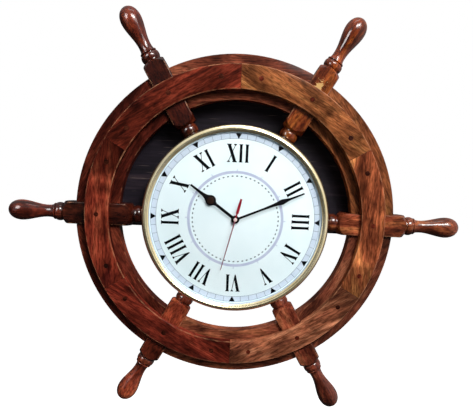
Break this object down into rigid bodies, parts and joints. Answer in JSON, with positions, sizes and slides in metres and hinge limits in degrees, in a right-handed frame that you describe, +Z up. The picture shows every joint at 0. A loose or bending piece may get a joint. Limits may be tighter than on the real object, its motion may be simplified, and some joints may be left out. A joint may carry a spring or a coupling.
{
  "type": "ships wheel clock",
  "caption": "Wooden ship's wheel with turned spokes and a segmented rim, with a round battery clock with Roman numerals let into its hub, for hanging on a wall.",
  "frame": {"origin": "centre of the wheel, where the axes of its spokes cross the hub's axis", "axes": "+Z up, +X to the right as seen from the front, and the dial faces -Y"},
  "size_m": [0.6096, 0.0433, 0.531],
  "materials": {
    "mahogany": "varnished red-brown hardwood with straight grain",
    "red_brown": "varnished darker red-brown hardwood with streaky grain",
    "golden_brown": "varnished light golden-brown hardwood",
    "dark_wood": "varnished dark brown hardwood",
    "charcoal_stain": "thin wood stained charcoal, matt",
    "champagne_brass": "polished pale brass",
    "case_brass": "plain pressed brass",
    "steel": "plain zinc-plated steel",
    "glass": "clear flat glass",
    "dial_white": "matt white printed metal",
    "hand_black": "satin black paint",
    "hand_red": "satin red paint",
    "black_plastic": "moulded black plastic",
    "white_plastic": "moulded natural white plastic",
    "copper": "enamelled copper wire",
    "board_green": "green circuit board",
    "magnet_grey": "sintered magnet",
    "battery_jacket": "plain battery jacket"
  },
  "bodies": {
    "wheel": {"spoke_right": "mahogany", "spoke_top_right": "mahogany", "spoke_top_left": "mahogany", "spoke_left": "mahogany", "spoke_bottom_left": "mahogany", "spoke_bottom_right": "mahogany", "ring_front_right": "red_brown", "ring_front_top_right": "golden_brown", "ring_front_top_left": "mahogany", "ring_front_left": "red_brown", "ring_front_bottom_left": "red_brown", "ring_front_bottom_right": "mahogany", "rim_core_upper_right": "dark_wood", "rim_core_top": "dark_wood", "rim_core_upper_left": "dark_wood", "rim_core_lower_left": "dark_wood", "rim_core_bottom": "dark_wood", "rim_core_lower_right": "dark_wood", "ring_back_top": "dark_wood", "ring_back_left": "dark_wood", "ring_back_right": "dark_wood", "hub_front": "dark_wood", "hub_back": "dark_wood", "hub_screw_1": "steel", "hub_screw_2": "steel", "hub_screw_3": "steel", "back_panel": "charcoal_stain", "hanger": "steel", "hanger_screw_1": "steel", "hanger_screw_2": "steel", "clock_case": "case_brass", "bezel": "champagne_brass", "glass": "glass", "glass_spacer": "white_plastic", "dial": "dial_white", "washer": "hand_black", "nut": "hand_black", "movement_housing": "black_plastic", "movement_cover": "black_plastic", "train_bridge": "white_plastic", "stator": "steel", "coil_core": "steel", "coil": "copper", "circuit_board": "board_green", "quartz_crystal": "steel", "battery": "battery_jacket", "contact_positive": "steel", "contact_negative": "steel"},
    "minute": {"minute_hand": "hand_black", "centre_wheel": "white_plastic"},
    "hour": {"hour_hand": "hand_black", "hour_wheel": "white_plastic"},
    "second": {"second_hand": "hand_red", "second_wheel": "white_plastic"},
    "third": {"third_wheel": "white_plastic"},
    "intermediate": {"intermediate_wheel": "white_plastic"},
    "rotor": {"rotor_pinion": "white_plastic", "rotor_magnet": "magnet_grey"},
    "motion": {"minute_wheel": "white_plastic"},
    "setting": {"setting_knob": "white_plastic"}
  },
  "joints": [
    {"name": "minute_hand_turn", "type": "hinge", "parent": "wheel", "child": "minute", "pos_m": [0, 0, 0], "axis": [0, 1, 0], "continuous": true},
    {"name": "hour_hand_turn", "type": "hinge", "parent": "wheel", "child": "hour", "pos_m": [0, 0, 0], "axis": [0, 1, 0], "continuous": true},
    {"name": "second_hand_turn", "type": "hinge", "parent": "wheel", "child": "second", "pos_m": [0, 0, 0], "axis": [0, 1, 0], "continuous": true},
    {"name": "third_wheel_turn", "type": "hinge", "parent": "wheel", "child": "third", "pos_m": [-0.01016, 0, 0.00587], "axis": [0, 1, 0], "continuous": true},
    {"name": "intermediate_wheel_turn", "type": "hinge", "parent": "wheel", "child": "intermediate", "pos_m": [0.00495, 0, 0.00857], "axis": [0, 1, 0], "continuous": true},
    {"name": "rotor_turn", "type": "hinge", "parent": "wheel", "child": "rotor", "pos_m": [0.01284, 0, 0.01145], "axis": [0, 1, 0], "continuous": true},
    {"name": "minute_wheel_turn", "type": "hinge", "parent": "wheel", "child": "motion", "pos_m": [0.00886, 0, -0.00156], "axis": [0, 1, 0], "continuous": true},
    {"name": "setting_knob_turn", "type": "hinge", "parent": "wheel", "child": "setting", "pos_m": [0.01624, 0, -0.00673], "axis": [0, 1, 0], "continuous": true}
  ],
  "couplings": [
    {"joint": "hour_hand_turn", "follows": "minute_hand_turn", "ratio": 0.083333},
    {"joint": "second_hand_turn", "follows": "minute_hand_turn", "ratio": 60},
    {"joint": "third_wheel_turn", "follows": "minute_hand_turn", "ratio": -7.5},
    {"joint": "intermediate_wheel_turn", "follows": "minute_hand_turn", "ratio": -300},
    {"joint": "rotor_turn", "follows": "minute_hand_turn", "ratio": 1800},
    {"joint": "minute_wheel_turn", "follows": "minute_hand_turn", "ratio": -0.33333},
    {"joint": "setting_knob_turn", "follows": "minute_hand_turn", "ratio": 1}
  ]
}
